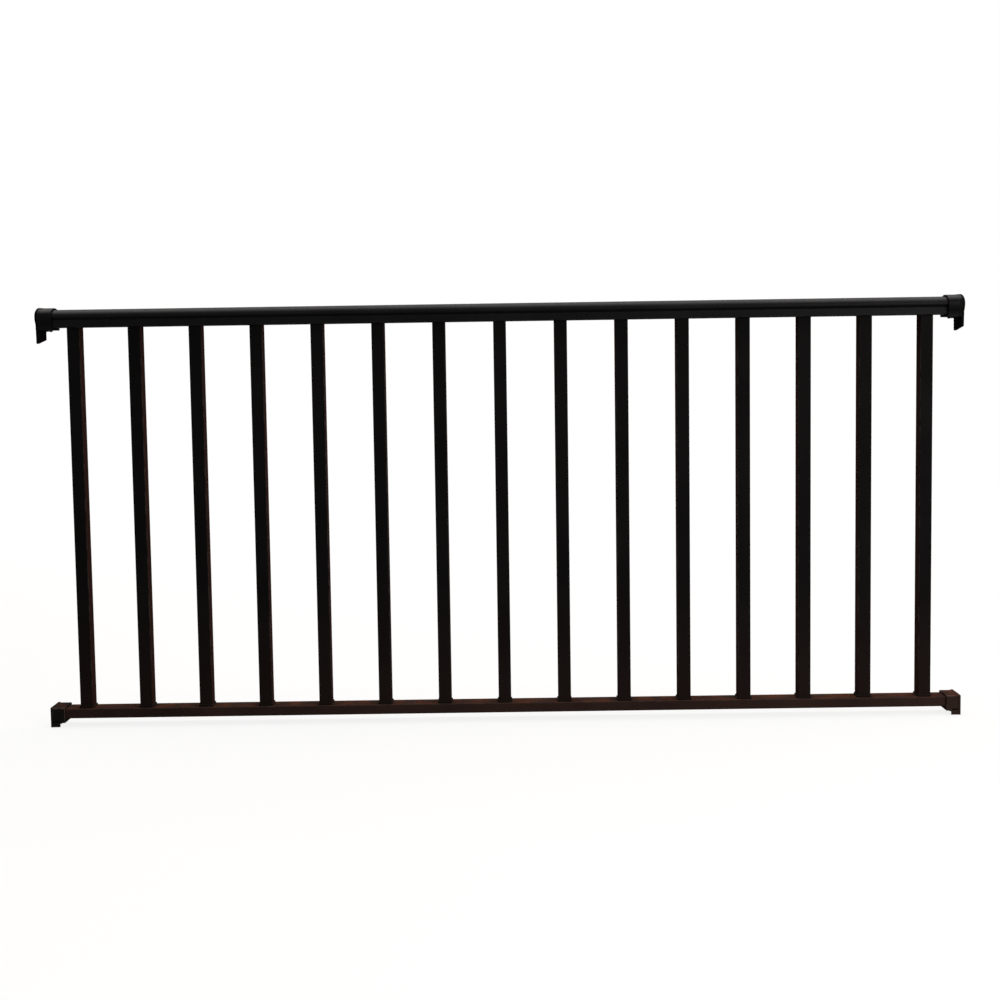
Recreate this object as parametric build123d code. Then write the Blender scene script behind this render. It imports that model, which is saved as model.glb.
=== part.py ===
from build123d import *

import os
from math import sqrt

# Handrail panel between two posts: oval-capped top rail, square balusters, bottom channel, brackets.
# The panel runs along +X from the left post face to the right one, its front looks along -Y and +Z is up.
# The origin lies on the left post face, in the middle of the panel's thickness, level with the underside
# of the bottom rail. All sizes are in millimetres.

# Whole panel
PANEL_LENGTH = 1828.8  # post face to post face
PANEL_HEIGHT = 820.5  # underside of the bottom rail to the crown of the cap
END_DISTANCE = 69.85  # post face to the middle of the first baluster
BALUSTER_COUNT = 15

# Balusters and their boots
BALUSTER_SIDE = 25.4
BALUSTER_WALL = 1.4
BALUSTER_CORNER = 1.6
BOOT_RIM = 1.9  # wall of the boot outside the baluster
BOOT_HEIGHT = 4.2
BOOT_FLOOR = 1.5
BOOT_PLUG = 11.0  # height of the stub inside the tube
BOOT_CORNER = 3.0  # cut across the boot's corners
BOOT_EDGE = 0.6  # bevel round the boot's top
SLIP_FIT = 0.2  # gap on each side of a baluster in its boot or its punched hole

# Rails
RAIL_WIDTH = 38.1
RAIL_WALL = 2.0
RAIL_CORNER = 1.2
RAIL_LIP = 7.0  # inward lips along the foot of the bottom channel
BOTTOM_RAIL_HEIGHT = 19.05
SKIRT_HEIGHT = 14.8  # visible flank of the top rail below its cap
BODY_RISE = 5.0  # height of the rail body hidden inside the cap
RAIL_END_GAP = 1.0  # between a rail end and the bracket plate

# Oval cap
CAP_HEIGHT = 21.0  # crease above the skirt to the crown
CAP_OVERHANG = 4.95  # oval beyond the skirt on each side
CAP_UNDERCUT = 6.4  # widest line of the oval down to the crease
CAP_WALL = 1.8
CAP_RIB = 1.6  # thickness of the ribs that stand on the rail body
CAP_RIB_SPREAD = 18.0  # between the two ribs
SNAP_DEPTH = 0.6  # reach of the lips into the rail body's grooves
SNAP_GAP = 0.15

# Brackets
SOCKET_FIT = 0.7  # gap between a rail and its socket, above and beside it
CAST_WALL = 2.9
PLATE = 5.0  # back plate against the post
RIM_GROWTH = 0.8  # back plate beyond the collar
RIM_STEP = 4.3  # lower step of the rim, in front of the plate
EDGE_ROUND = 0.9
COLLAR_LENGTH = 32.0
COLLAR_FLOOR = 4.7
COLLAR_BULGE = 15.4  # widest line of the collar down to its flanks
TONGUE_WIDTH = 46.0
TONGUE_TAPER = 1.0  # narrowing on each side down to the tip
TONGUE_DROP = 27.0  # collar's underside to the tongue's low corner
TONGUE_SLANT = 8.0  # rise of the tongue's other corner
TONGUE_CORNER = 2.0
TONGUE_HOLE = 5.5
TONGUE_HOLE_DROP = 9.5  # collar's underside to the hole's axis
TONGUE_HOLE_SPACING = 29.0
BOX_LENGTH = 28.0
BOX_FLOOR = 8.6
BOX_CORNER = 2.0
LIP_DROP = 8.1  # box's underside to the lip's edge
LIP_LENGTH = 18.0  # cheeks beside the lip, along the rail
LIP_CORNER = 1.2
LIP_HOLE = 4.5
LIP_HOLE_SPACING = 28.0
RAIL_SCREW = 4.2  # holes in the sockets' floors for the screws into the rails

# Levels that follow from the sizes above
CREASE = PANEL_HEIGHT - CAP_HEIGHT
SKIRT_FOOT = CREASE - SKIRT_HEIGHT
WIDEST = CREASE + CAP_UNDERCUT
BODY_TOP = CREASE + BODY_RISE
BOOT_SEAT = BOTTOM_RAIL_HEIGHT
COLLAR_FOOT = SKIRT_FOOT - COLLAR_FLOOR
PITCH = (PANEL_LENGTH - 2 * END_DISTANCE) / (BALUSTER_COUNT - 1)
RAIL_START = PLATE + RAIL_END_GAP
RAIL_LENGTH = PANEL_LENGTH - 2 * RAIL_START


def block(width, low, high, middle=0.0):
    """Upright rectangle in a section, from level `low` to level `high`."""
    return Pos(middle, (low + high) / 2) * Rectangle(width, high - low)


def square(side):
    """Square, seen along the baluster."""
    return Rectangle(side, side)


def oval(half_width, rise, drop, cut, level):
    """Oval head at `level`: an upper half ellipse and a lower one, cut off `cut` below the widest line."""
    upper = Ellipse(half_width, rise) & block(4 * half_width, 0, 2 * rise)
    lower = Ellipse(half_width, drop) & block(4 * half_width, -cut, 0)
    return Pos(0, level) * (upper + lower)


def ellipse_drop(half_width, at, cut):
    """Lower half axis of an ellipse that is `at` wide from its middle, `cut` below the widest line."""
    return cut / sqrt(1 - (at / half_width) ** 2)


def along_x(section, start, length):
    """Extrude a section along the panel."""
    return Pos(start, 0, 0) * extrude(Plane.YZ * section, length)


def cap_section():
    """Snap-on cap: oval shell, two lips that grip the rail body and two ribs that stand on it."""
    half = RAIL_WIDTH / 2 + CAP_OVERHANG
    rise = PANEL_HEIGHT - WIDEST
    drop = ellipse_drop(half, RAIL_WIDTH / 2, CAP_UNDERCUT)
    beside = (RAIL_WIDTH / 2 + SNAP_GAP) / (half - CAP_WALL)
    lip_top = WIDEST - (drop - CAP_WALL) * sqrt(1 - beside**2)
    outer = oval(half, rise, drop, CAP_UNDERCUT, WIDEST)
    inner = oval(half - CAP_WALL, rise - CAP_WALL, drop - CAP_WALL, WIDEST - lip_top, WIDEST)
    middle = oval(half - CAP_WALL / 2, rise - CAP_WALL / 2, drop, CAP_UNDERCUT, WIDEST)
    section = outer - inner - block(RAIL_WIDTH - 2 * SNAP_DEPTH, CREASE - 1, lip_top + 0.5)
    for side in (-1, 1):
        section += middle & block(CAP_RIB, BODY_TOP, PANEL_HEIGHT, side * CAP_RIB_SPREAD / 2)
    return section, lip_top


def rail_body_section(lip_top):
    """Closed rail below the cap, with a groove on each side for the cap's lips."""
    outer = block(RAIL_WIDTH, SKIRT_FOOT, BODY_TOP)
    outer = fillet(outer.vertices().group_by(Axis.Y)[0], RAIL_CORNER)
    section = outer - block(RAIL_WIDTH - 2 * RAIL_WALL, SKIRT_FOOT + RAIL_WALL, BODY_TOP - RAIL_WALL)
    depth = SNAP_DEPTH + SNAP_GAP
    for side in (-1, 1):
        section -= block(2 * depth, CREASE - SNAP_GAP, lip_top + SNAP_GAP, side * RAIL_WIDTH / 2)
    return section


def bottom_rail_section():
    """Channel with its web on top, its flanges down and a lip along the foot of each flange."""
    inside = RAIL_WIDTH - 2 * RAIL_WALL
    outer = block(RAIL_WIDTH, 0, BOTTOM_RAIL_HEIGHT)
    outer = fillet(outer.vertices(), RAIL_CORNER)
    outer -= block(inside, RAIL_WALL, BOTTOM_RAIL_HEIGHT - RAIL_WALL)
    return outer - block(inside - 2 * RAIL_LIP, -RAIL_WALL, 2 * RAIL_WALL)


def baluster_places():
    """Middles of the balusters along the panel."""
    return [END_DISTANCE + PITCH * i for i in range(BALUSTER_COUNT)]


def top_rail():
    """Cap and rail body; the body's underside has one punched hole for each baluster."""
    section, lip_top = cap_section()
    cap = along_x(section, RAIL_START, RAIL_LENGTH)
    body = along_x(rail_body_section(lip_top), RAIL_START, RAIL_LENGTH)
    side = BALUSTER_SIDE + 2 * SLIP_FIT
    for x in baluster_places():
        body -= Pos(x, 0, SKIRT_FOOT + RAIL_WALL / 2) * Box(side, side, 2 * RAIL_WALL)
    return cap, body


def baluster():
    """Square tube from the floor of its boot to the upper wall of the rail body."""
    foot = BOOT_SEAT + BOOT_FLOOR
    wall = RectangleRounded(BALUSTER_SIDE, BALUSTER_SIDE, BALUSTER_CORNER)
    wall -= square(BALUSTER_SIDE - 2 * BALUSTER_WALL)
    return Pos(0, 0, foot) * extrude(wall, BODY_TOP - RAIL_WALL - foot)


def baluster_boot():
    """Plastic boot: floor and rim round the baluster's foot, and a hollow stub inside the tube."""
    pocket = BALUSTER_SIDE + 2 * SLIP_FIT
    stub = BALUSTER_SIDE - 2 * BALUSTER_WALL - 2 * SLIP_FIT
    outline = square(pocket + 2 * BOOT_RIM)
    outline = chamfer(outline.vertices(), BOOT_CORNER)
    boot = extrude(outline, BOOT_HEIGHT)
    boot = chamfer(boot.faces().sort_by(Axis.Z)[-1].edges(), BOOT_EDGE)
    boot -= Pos(0, 0, BOOT_FLOOR) * extrude(square(pocket), BOOT_HEIGHT)
    sleeve = square(stub) - square(stub - 2 * BOOT_FLOOR)
    boot += Pos(0, 0, BOOT_FLOOR / 2) * extrude(sleeve, BOOT_PLUG - BOOT_FLOOR / 2)
    return Pos(0, 0, BOOT_SEAT) * boot


def collar_outline(growth):
    """Outside of the top bracket: the rail's oval and skirt, grown all round."""
    flank = RAIL_WIDTH / 2 + growth
    half = flank + CAP_OVERHANG
    drop = ellipse_drop(half, flank, COLLAR_BULGE)
    head = oval(half, PANEL_HEIGHT - WIDEST + growth, drop, COLLAR_BULGE, WIDEST)
    return head + block(2 * flank, COLLAR_FOOT, WIDEST)


def socket_outline():
    """Inside of the top bracket: the rail's outline with a small gap, standing on the floor."""
    flank = RAIL_WIDTH / 2 + SOCKET_FIT
    half = flank + CAP_OVERHANG
    drop = ellipse_drop(half, flank, CAP_UNDERCUT + SOCKET_FIT)
    head = oval(half, PANEL_HEIGHT - WIDEST + SOCKET_FIT, drop, CAP_UNDERCUT + SOCKET_FIT, WIDEST)
    return head + block(2 * flank, SKIRT_FOOT, WIDEST)


def tongue_outline():
    """Tapered tongue below the collar, cut off on a slant from its low corner up to the other one."""
    half, low = TONGUE_WIDTH / 2, COLLAR_FOOT - TONGUE_DROP
    tip = half - TONGUE_TAPER
    left = [(-half, WIDEST), (-half, COLLAR_FOOT), (-tip, low)]
    right = [(tip, low + TONGUE_SLANT), (half, COLLAR_FOOT), (half, WIDEST)]
    tongue = make_face(Polyline(*left, *right, close=True))
    corners = [v for v in tongue.vertices() if v.Y < COLLAR_FOOT - TONGUE_DROP / 2]
    return fillet(corners, TONGUE_CORNER)


def floor_holes(bracket, length, low, thick, spacing):
    """Cut the holes for the screws that hold the rail, half way along the socket."""
    hole = Cylinder(RAIL_SCREW / 2, 2 * thick)
    for y in (-spacing / 2, spacing / 2):
        bracket -= Pos((PLATE + length) / 2, y, low + thick / 2) * hole
    return bracket


def top_bracket():
    """Cast socket round the handrail end, with the post on its side of x = 0."""
    growth = SOCKET_FIT + CAST_WALL
    collar = along_x(collar_outline(growth), 0, COLLAR_LENGTH)
    collar = chamfer(collar.faces().sort_by(Axis.X)[-1].edges(), EDGE_ROUND)
    plate = along_x(collar_outline(growth + RIM_GROWTH) + tongue_outline(), 0, PLATE)
    step = along_x(collar_outline(growth + RIM_GROWTH / 2), 0, PLATE + RIM_STEP)
    bracket = collar + step + plate
    bracket = floor_holes(bracket, COLLAR_LENGTH, COLLAR_FOOT, COLLAR_FLOOR, RAIL_WIDTH / 2)
    bracket -= along_x(socket_outline(), PLATE, COLLAR_LENGTH)
    hole = Rot(0, 90, 0) * Cylinder(TONGUE_HOLE / 2, 4 * PLATE)
    for side in (-1, 1):
        bracket -= Pos(0, side * TONGUE_HOLE_SPACING / 2, COLLAR_FOOT - TONGUE_HOLE_DROP) * hole
    return bracket


def bottom_bracket():
    """Cast box socket round the bottom rail end; the plate's lip hangs below it between two cheeks."""
    width = RAIL_WIDTH + 2 * (SOCKET_FIT + CAST_WALL)
    top = BOTTOM_RAIL_HEIGHT + SOCKET_FIT + CAST_WALL
    outline = fillet(block(width, -BOX_FLOOR, top).vertices(), BOX_CORNER)
    box = along_x(outline, 0, BOX_LENGTH)
    box = chamfer(box.faces().sort_by(Axis.X)[-1].edges(), EDGE_ROUND)
    back = block(width + 2 * RIM_GROWTH, -BOX_FLOOR - LIP_DROP, top + RIM_GROWTH)
    back = fillet(back.vertices(), LIP_CORNER)
    socket = block(RAIL_WIDTH + 2 * SOCKET_FIT, 0, BOTTOM_RAIL_HEIGHT + SOCKET_FIT)
    cheeks = block(width, -BOX_FLOOR - LIP_DROP, -BOX_FLOOR / 2)
    cheeks = fillet(cheeks.vertices().group_by(Axis.Y)[0], LIP_CORNER)
    cheeks -= block(width - 2 * CAST_WALL, -BOX_FLOOR - 2 * LIP_DROP, -BOX_FLOOR)
    bracket = box + along_x(cheeks, 0, LIP_LENGTH) + along_x(back, 0, PLATE)
    lips = RAIL_WIDTH - 2 * RAIL_WALL - RAIL_LIP
    bracket = floor_holes(bracket, BOX_LENGTH, -BOX_FLOOR, BOX_FLOOR, lips)
    bracket -= along_x(socket, PLATE, BOX_LENGTH)
    hole = Rot(0, 90, 0) * Cylinder(LIP_HOLE / 2, 4 * PLATE)
    for side in (-1, 1):
        bracket -= Pos(0, side * LIP_HOLE_SPACING / 2, -BOX_FLOOR - LIP_DROP / 2) * hole
    return bracket


def at_right_end(bracket):
    """The same casting turned half round for the right post."""
    return Pos(PANEL_LENGTH, 0, 0) * Rot(0, 0, 180) * bracket


def build():
    """All pieces of the panel by name."""
    pieces = {}
    pieces["top_rail_cap"], pieces["top_rail_body"] = top_rail()
    pieces["bottom_rail"] = along_x(bottom_rail_section(), RAIL_START, RAIL_LENGTH)
    bar, boot = baluster(), baluster_boot()
    for number, x in enumerate(baluster_places(), 1):
        pieces[f"baluster_{number:02d}"] = Pos(x, 0, 0) * bar
        pieces[f"baluster_boot_{number:02d}"] = Pos(x, 0, 0) * boot
    upper, lower = top_bracket(), bottom_bracket()
    pieces["left_top_bracket"], pieces["right_top_bracket"] = upper, at_right_end(upper)
    pieces["left_bottom_bracket"], pieces["right_bottom_bracket"] = lower, at_right_end(lower)
    return pieces


os.makedirs("parts", exist_ok=True)
for name, piece in build().items():
    export_step(piece, f"parts/{name}.step")
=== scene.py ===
"""Looks of a handrail panel: oval top rail, fifteen square balusters, bottom rail and four cast brackets.

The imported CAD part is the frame. Each rail, baluster, boot and bracket is drawn again as a smooth
surface on the same sizes, and takes a fine-grained powder coat. Sizes are in millimetres.
"""

from __future__ import annotations

import logging
import math
from collections.abc import Callable
from dataclasses import dataclass, field, replace
from enum import Enum

import bpy
import numpy as np
from mathutils import Matrix, Vector, geometry

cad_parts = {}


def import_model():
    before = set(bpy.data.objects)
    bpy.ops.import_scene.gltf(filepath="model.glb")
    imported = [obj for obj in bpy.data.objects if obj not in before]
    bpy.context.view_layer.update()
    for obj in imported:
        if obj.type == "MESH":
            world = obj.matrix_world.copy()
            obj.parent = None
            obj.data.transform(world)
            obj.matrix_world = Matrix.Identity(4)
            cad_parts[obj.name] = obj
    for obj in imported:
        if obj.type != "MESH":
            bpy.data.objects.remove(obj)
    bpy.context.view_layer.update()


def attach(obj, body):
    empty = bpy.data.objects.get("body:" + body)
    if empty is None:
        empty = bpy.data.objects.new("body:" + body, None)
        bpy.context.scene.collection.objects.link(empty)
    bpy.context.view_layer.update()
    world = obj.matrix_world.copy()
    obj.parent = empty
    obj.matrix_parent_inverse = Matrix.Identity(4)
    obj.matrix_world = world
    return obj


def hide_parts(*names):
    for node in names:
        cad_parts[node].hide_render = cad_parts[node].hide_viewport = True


LOG = logging.getLogger("handrail_panel")
MM = 0.001
BODY = "root"
SHARP_ANGLE = math.radians(38.0)
FULL_WEAR = 0.25
TIGHT_RADIUS = 2.0
MITRE_LIMIT = 0.4
ARC_STEPS = 6
CDT_INSIDE, CDT_EPSILON = 1, 1e-6
RAIL_RINGS = 25
TUBE_RINGS = 13
Rgb = tuple[float, float, float]
Point = tuple[float, float, float]
Socket = bpy.types.NodeSocket


class Axis(Enum):
    """Direction in which a section is carried."""

    ALONG = "x"
    UP = "z"


class End(Enum):
    """End of the panel at which a bracket sits."""

    LEFT = "left"
    RIGHT = "right"


class Slot(Enum):
    """Material slots of the record."""

    HANDRAIL = "handrail"
    BOTTOM_RAIL = "bottom_rail"
    BALUSTERS = "balusters"
    TOP_BRACKETS = "top_brackets"
    BOTTOM_BRACKETS = "bottom_brackets"
    BOOTS = "boots"


class Mask(Enum):
    """Masks that lay another tone or sheen over a coat, some of them painted light and shade, in the order in
    which they are laid.
    """

    WARM_BOUNCE = "painted_foot_bounce"
    CROSS = "painted_side_light_and_shade"
    UNDERSIDE_SHADE = "painted_underside_shade"
    RUB_AND_HIGHLIGHT = "rubbed_and_highlit_edges"
    DUST_AND_TOP_LIGHT = "dust_and_painted_top_light"
    MARKS = "hand_marks"


@dataclass(frozen=True)
class Panel:
    """Sizes that several pieces share, in the frame of the CAD part."""

    length: float = 1828.8
    rail_start: float = 6.0
    rail_end: float = 1822.8
    rail_width: float = 38.1
    rail_wall: float = 2.0
    rail_corner: float = 1.2
    rail_top: float = 19.05
    skirt_foot: float = 784.7
    widest: float = 805.9
    crown: float = 820.5
    overhang: float = 4.95
    collar_foot: float = 780.0
    box_low: float = -8.6
    plate: float = 5.0


PANEL = Panel()


def srgb(red: int, green: int, blue: int) -> Rgb:
    """Linear colour of an sRGB colour whose values run from 0 to 255.

    As the sRGB standard says, a value up to 0.04045 is divided by 12.92. A larger one gets 0.055 more,
    is divided by 1.055 and raised to the power 2.4.

    Args:
        red: Red from 0 to 255.
        green: Green from 0 to 255.
        blue: Blue from 0 to 255.

    Returns:
        The three linear values from 0 to 1.
    """
    value = np.array([red, green, blue]) / 255.0
    linear = np.where(value <= 0.04045, value / 12.92, ((value + 0.055) / 1.055) ** 2.4)
    return tuple(linear.tolist())


def rounded_polygon(
    corners: np.ndarray, radii: np.ndarray, steps: int = ARC_STEPS, support: float = 0.25
) -> np.ndarray:
    """Closed outline with an arc at each corner.

    At a corner the arc touches both sides at radius / tan(half the corner's angle). Its middle lies on
    the angle's bisector at radius / sin(half the angle). A point on each side close to the arc keeps
    the flats flat under smooth shading. A corner of radius 0 keeps its one point.

    Args:
        corners: Corner points in order, K by 2.
        radii: Radius at each corner, K.
        steps: Segments of each arc.
        support: Distance from the arc's end to the extra point on the flat.

    Returns:
        The outline's points, N by 2.
    """
    corners, radii = np.asarray(corners, float), np.asarray(radii, float)
    before, after = np.roll(corners, 1, 0) - corners, np.roll(corners, -1, 0) - corners
    before /= np.linalg.norm(before, axis=1, keepdims=True)
    after /= np.linalg.norm(after, axis=1, keepdims=True)
    half = np.arccos(np.clip((before * after).sum(1), -1, 1)) / 2
    reach = (radii / np.tan(half))[:, None]
    bisector = before + after
    bisector /= np.linalg.norm(bisector, axis=1, keepdims=True).clip(1e-9)
    middle = corners + bisector * (radii / np.sin(half))[:, None]
    start = corners + before * reach - middle
    turn = np.sign(before[:, 1] * after[:, 0] - before[:, 0] * after[:, 1]) * (math.pi - 2 * half)
    angle = np.linspace(0, 1, steps + 1)[None, :] * turn[:, None]
    cos, sin = np.cos(angle), np.sin(angle)
    arc_x = start[:, :1] * cos - start[:, 1:] * sin + middle[:, :1]
    arc_y = start[:, :1] * sin + start[:, 1:] * cos + middle[:, 1:]
    arcs = np.stack([arc_x, arc_y], -1)
    lead = (corners + before * (reach + support))[:, None]
    tail = (corners + after * (reach + support))[:, None]
    rows = np.concatenate([lead, arcs, tail], 1)
    keep = np.ones(rows.shape[:2], bool)
    keep[radii == 0] = False
    keep[radii == 0, 1] = True
    return rows[keep]


def rectangle(width: float, low: float, high: float, radius: float, steps: int = ARC_STEPS) -> np.ndarray:
    """Outline of an upright rectangle, centred on 0, with rounded corners, counterclockwise.

    Args:
        width: Whole width.
        low: Lower level.
        high: Upper level.
        radius: Radius of the corners.
        steps: Segments of each corner.

    Returns:
        The outline's points, N by 2.
    """
    half = width / 2
    corners = np.array([(-half, low), (half, low), (half, high), (-half, high)])
    return rounded_polygon(corners, np.full(4, radius), steps)


def circle(middle: tuple[float, float], radius: float, count: int = 32) -> np.ndarray:
    """Round outline, clockwise, as a hole in a section."""
    angle = -np.linspace(0, 2 * math.pi, count, endpoint=False)
    return np.stack([middle[0] + radius * np.cos(angle), middle[1] + radius * np.sin(angle)], -1)


def half_oval(half: float, rise: float, drop: float, cut: float, level: float, steps: int) -> np.ndarray:
    """Open oval head, from its right foot over the crown to its left foot.

    A point is (half cos t, level + h sin t), where h is `rise` above the widest line and `drop` below
    it, and t runs over the angles whose lower points lie no further than `cut` below that line. Each
    lower part has a sixth as many segments as the upper half, and at least four.

    Args:
        half: Half of the widest width.
        rise: Height of the crown over the widest line.
        drop: Half axis of the lower ellipse.
        cut: Depth below the widest line at which the oval ends.
        level: Height of the widest line.
        steps: Segments of the upper half.

    Returns:
        The curve's points, N by 2.
    """
    foot = math.asin(cut / drop)
    lower = np.linspace(-foot, 0, max(steps // 6, 4), endpoint=False)
    upper = np.linspace(0, math.pi, steps, endpoint=False)
    angle = np.concatenate([lower, upper, math.pi + np.linspace(0, foot, len(lower) + 1)])
    height = np.where(np.sin(angle) >= 0, rise, drop)
    return np.stack([half * np.cos(angle), level + height * np.sin(angle)], -1)


def ellipse_drop(half: float, at: float, cut: float) -> float:
    """Lower half axis of an ellipse that is `at` wide at depth `cut`: cut / root of 1 - (at / half)^2."""
    return cut / math.sqrt(1 - (at / half) ** 2)


def outward(loop: np.ndarray) -> np.ndarray:
    """Mitred directions in which each point of a counterclockwise outline moves when it grows by 1.

    The direction is the sum of the two neighbouring sides' normals over 1 + their dot product.

    Args:
        loop: Counterclockwise outline, N by 2.

    Returns:
        The directions, N by 2.
    """
    side = np.roll(loop, -1, 0) - loop
    side /= np.linalg.norm(side, axis=1, keepdims=True)
    normal = np.stack([side[:, 1], -side[:, 0]], -1)
    last = np.roll(normal, 1, 0)
    return (normal + last) / (1 + (normal * last).sum(1, keepdims=True)).clip(MITRE_LIMIT)


def sharpness(loop: np.ndarray) -> np.ndarray:
    """How much each point of a closed outline lies on a tight corner, from 0 to 1.

    The turn at a point over the mean length of its two sides is the curvature; 1 stands for the tight
    radius or less.

    Args:
        loop: Closed outline, N by 2.

    Returns:
        One value for each point, N.
    """
    side = np.roll(loop, -1, 0) - loop
    last = np.roll(side, 1, 0)
    cross = last[:, 0] * side[:, 1] - last[:, 1] * side[:, 0]
    turn = np.abs(np.arctan2(cross, (last * side).sum(1)))
    length = (np.linalg.norm(side, axis=1) + np.linalg.norm(last, axis=1)) / 2
    return np.clip(TIGHT_RADIUS * turn / length, 0, 1)


@dataclass
class Shell:
    """Closed surface: its points, its faces and how much each point lies on an edge."""

    points: np.ndarray
    quads: np.ndarray
    triangles: np.ndarray
    edge: np.ndarray

    @staticmethod
    def joined(shells: list[Shell]) -> Shell:
        """One surface out of several.

        Args:
            shells: Surfaces to put together.

        Returns:
            The surface that holds them all.
        """
        starts = np.cumsum([0] + [len(shell.points) for shell in shells[:-1]])
        return Shell(
            np.concatenate([shell.points for shell in shells]),
            np.concatenate([shell.quads + start for shell, start in zip(shells, starts)]),
            np.concatenate([shell.triangles + start for shell, start in zip(shells, starts)]),
            np.concatenate([shell.edge for shell in shells]),
        )

    def moved(self, x: float, y: float = 0.0, z: float = 0.0) -> Shell:
        """Copy at another place."""
        return Shell(self.points + np.array([x, y, z]), self.quads, self.triangles, self.edge)

    def at(self, end: End) -> Shell:
        """This surface for the left end; for the right end, its copy turned half round.

        Args:
            end: End of the panel.

        Returns:
            The surface at that end.
        """
        if end is End.LEFT:
            return self
        points = self.points * np.array([-1.0, -1.0, 1.0]) + np.array([PANEL.length, 0.0, 0.0])
        return Shell(points, self.quads, self.triangles, self.edge)

    def to_object(self, name: str) -> bpy.types.Object:
        """Blender object with this surface: the quads smooth apart from sharp edges, the triangles flat.

        Args:
            name: Name of the piece.

        Returns:
            The new object, linked to the scene.
        """
        mesh = bpy.data.meshes.new(name)
        mesh.from_pydata((self.points * MM).tolist(), [], self.quads.tolist() + self.triangles.tolist())
        mesh.polygons.foreach_set("use_smooth", np.arange(len(mesh.polygons)) < len(self.quads))
        mesh.set_sharp_from_angle(angle=SHARP_ANGLE)
        mesh.attributes.new("edge", "FLOAT", "POINT").data.foreach_set("value", self.edge.astype(np.float32))
        mesh.update()
        piece = bpy.data.objects.new(name, mesh)
        bpy.context.scene.collection.objects.link(piece)
        return piece


def side_quads(rings: int, count: int, wrap: bool) -> np.ndarray:
    """Faces between neighbouring rings of points, as (rings, points, 4) indices.

    The face after point n of ring s has the corners (s, n), (s, n + 1), (s + 1, n + 1) and (s + 1, n).

    Args:
        rings: Number of rings.
        count: Points in each ring.
        wrap: Whether the last ring joins the first.

    Returns:
        The corner indices.
    """
    ring = np.arange(rings if wrap else rings - 1)[:, None]
    point = np.arange(count)[None, :]
    following, beside = (ring + 1) % rings, (point + 1) % count
    near, far = ring * count, following * count
    return np.stack([near + point, near + beside, far + beside, far + point], -1)


def inside(points: np.ndarray, loop: np.ndarray) -> np.ndarray:
    """Whether points lie inside an outline: a line to the right of them crosses it an odd number of times.

    Args:
        points: Points to test, P by 2.
        loop: Closed outline, N by 2.

    Returns:
        One truth value for each point, P.
    """
    x, y = points[:, :1], points[:, 1:]
    (ax, ay), (bx, by) = loop.T, np.roll(loop, -1, 0).T
    spans = (ay > y) != (by > y)
    rise = np.where(by == ay, 1.0, by - ay)
    return (spans & (x < ax + (y - ay) * (bx - ax) / rise)).sum(1) % 2 == 1


def flat_face(loops: list[np.ndarray]) -> np.ndarray:
    """Triangles of a flat face that the first outline bounds and the others pierce, counterclockwise.

    A triangle between the points stays if its middle lies inside the first outline and outside the
    others, and is turned over if its area, half the cross product of two sides, is below 0.

    Args:
        loops: Outlines, each N by 2.

    Returns:
        Triangles that index the outlines' points one after the other.
    """
    points = np.concatenate(loops)
    sides, start = [], 0
    for loop in loops:
        index = np.arange(len(loop))
        sides.append(np.stack([index, (index + 1) % len(loop)], -1) + start)
        start += len(loop)
    corners = [Vector(point) for point in points.tolist()]
    found = geometry.delaunay_2d_cdt(corners, np.concatenate(sides).tolist(), [], CDT_INSIDE, CDT_EPSILON)
    source = np.array([given[0] for given in found[3]])
    triangles = source[np.array(found[2])]
    middle = points[triangles].mean(1)
    keep = inside(middle, loops[0])
    for loop in loops[1:]:
        keep &= ~inside(middle, loop)
    a, b, c = (points[triangles[:, i]] for i in range(3))
    area = (b[:, 0] - a[:, 0]) * (c[:, 1] - a[:, 1]) - (b[:, 1] - a[:, 1]) * (c[:, 0] - a[:, 0])
    triangles[area < 0] = triangles[area < 0][:, ::-1]
    return triangles[keep]


def placed(section: np.ndarray, stations: np.ndarray, axis: Axis) -> np.ndarray:
    """Points in space, S by N by 3, of S rings of section points that stand at stations along an axis."""
    along = np.broadcast_to(np.asarray(stations, float)[:, None, None], section.shape[:2] + (1,))
    return np.concatenate([along, section] if axis is Axis.ALONG else [section, along], -1)


def loft(loops: list[np.ndarray], stations: np.ndarray, axis: Axis, wrap: bool = False) -> Shell:
    """Surface over rings of section points, closed by flat ends or by joining the last ring to the first.

    Args:
        loops: Rings of the outer outline, S by N by 2, then those of the holes.
        stations: Place of each ring along the axis.
        axis: Direction in which the rings follow each other.
        wrap: Whether the surface closes on itself, as a tube with wall thickness does.

    Returns:
        The closed surface.
    """
    points, quads, first, last, start = [], [], [], [], 0
    for rings in loops:
        count = rings.shape[1]
        points.append(placed(rings, stations, axis).reshape(-1, 3))
        quads.append(side_quads(len(rings), count, wrap).reshape(-1, 4) + start)
        first.append(np.arange(count) + start)
        start += len(rings) * count
        last.append(np.arange(start - count, start))
    triangles = np.zeros((0, 3), int)
    if not wrap:
        low = np.concatenate(first)[flat_face([rings[0] for rings in loops])][:, ::-1]
        high = np.concatenate(last)[flat_face([rings[-1] for rings in loops])]
        triangles = np.concatenate([low, high])
    return Shell(np.concatenate(points), np.concatenate(quads), triangles, np.zeros(start))


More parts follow.
